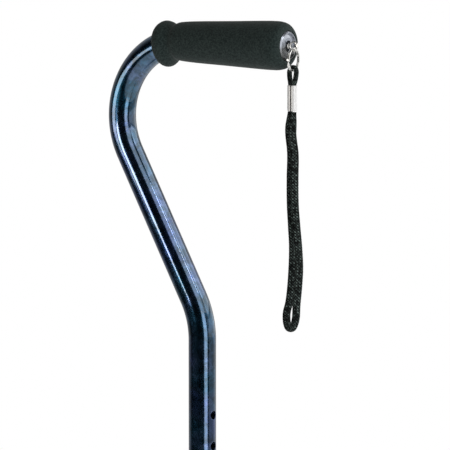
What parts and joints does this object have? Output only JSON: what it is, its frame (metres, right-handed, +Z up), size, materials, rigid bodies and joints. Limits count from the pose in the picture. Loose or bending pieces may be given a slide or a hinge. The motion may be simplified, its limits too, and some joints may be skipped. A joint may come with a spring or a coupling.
{
  "type": "quad walking cane",
  "caption": "Offset-handle walking cane with foam grip, wrist strap, telescoping shaft with snap-button height setting, and a spread-legged base with rubber tips.",
  "frame": {"origin": "on the floor at the centre of the base's footprint", "axes": "+Z up along the shaft, +X forward towards the free end of the grip, +Y towards the user's side of the base"},
  "size_m": [0.2026, 0.159, 0.8389],
  "materials": {
    "marbled_paint": "high gloss blue-black marble pattern under a clear coat",
    "foam": "matte closed-cell foam",
    "cap_plastic": "satin moulded plastic",
    "bright_steel": "polished",
    "cord": "braided polyester",
    "black_plastic": "moulded with a fine grain",
    "bare_tube": "clear anodised, brushed along the tube",
    "spring_steel": "rolled strip",
    "black_paint": "gloss powder coat",
    "hub_casting": "black textured powder coat on a casting",
    "tip_rubber": "matte moulded rubber",
    "zinc_steel": "zinc plated"
  },
  "bodies": {
    "base": {"base_hub": "hub_casting", "hub_clamp_plate": "hub_casting", "outer_leg_bow": "black_paint", "inner_leg_bow": "black_paint", "rubber_tip_front_outer": "tip_rubber", "rubber_tip_rear_outer": "tip_rubber", "rubber_tip_front_inner": "tip_rubber", "rubber_tip_rear_inner": "tip_rubber", "tip_washer_front_outer": "zinc_steel", "tip_washer_rear_outer": "zinc_steel", "tip_washer_front_inner": "zinc_steel", "tip_washer_rear_inner": "zinc_steel", "clamp_bolt_rear": "zinc_steel", "clamp_nut_rear": "zinc_steel", "clamp_bolt_front": "zinc_steel", "clamp_nut_front": "zinc_steel", "shaft_bolt": "zinc_steel", "shaft_nut": "zinc_steel", "lower_tube": "bare_tube", "button_spring": "spring_steel"},
    "button": {"snap_button": "bright_steel"},
    "clamp_ring": {"compression_ring": "black_plastic"},
    "handle": {"upper_tube": "marbled_paint", "collar_sleeve": "black_plastic", "foam_grip": "foam", "handle_end_cap": "cap_plastic", "strap_eye": "bright_steel"},
    "lock_nut": {"lock_nut": "black_plastic"},
    "ring": {"split_ring": "bright_steel"},
    "strap": {"cord_ferrule": "bright_steel", "wrist_cord_eye": "cord", "wrist_cord_loop": "cord"}
  },
  "joints": [
    {"name": "button_press", "type": "slide", "parent": "base", "child": "button", "axis": [-1, 0, 0], "range_m": [0, 0.004], "stiffness_N_per_m": 2500, "deforming": ["button_spring"]},
    {"name": "height_adjust", "type": "slide", "parent": "base", "child": "clamp_ring", "axis": [0, 0, 1], "range_m": [-0.1016, 0.127], "deforming": ["snap_button"]},
    {"name": "handle_turn", "type": "hinge", "parent": "clamp_ring", "child": "handle", "pos_m": [0, 0.025, 0.2596], "axis": [0, 0, 1], "range_deg": [0, 180], "deforming": ["snap_button"]},
    {"name": "lock_nut_turn", "type": "hinge", "parent": "handle", "child": "lock_nut", "pos_m": [0, 0.025, 0.2596], "axis": [0, 0, 1], "range_deg": [0, 270]},
    {"name": "ring_swing", "type": "hinge", "parent": "handle", "child": "ring", "pos_m": [0.08645, 0.025, 0.8196], "axis": [0, -1, 0], "range_deg": [0, 90]},
    {"name": "strap_swing", "type": "hinge", "parent": "ring", "child": "strap", "pos_m": [0.08645, 0.025, 0.8093], "axis": [0.9945, 0.1045, 0], "range_deg": [-60, 40]}
  ]
}
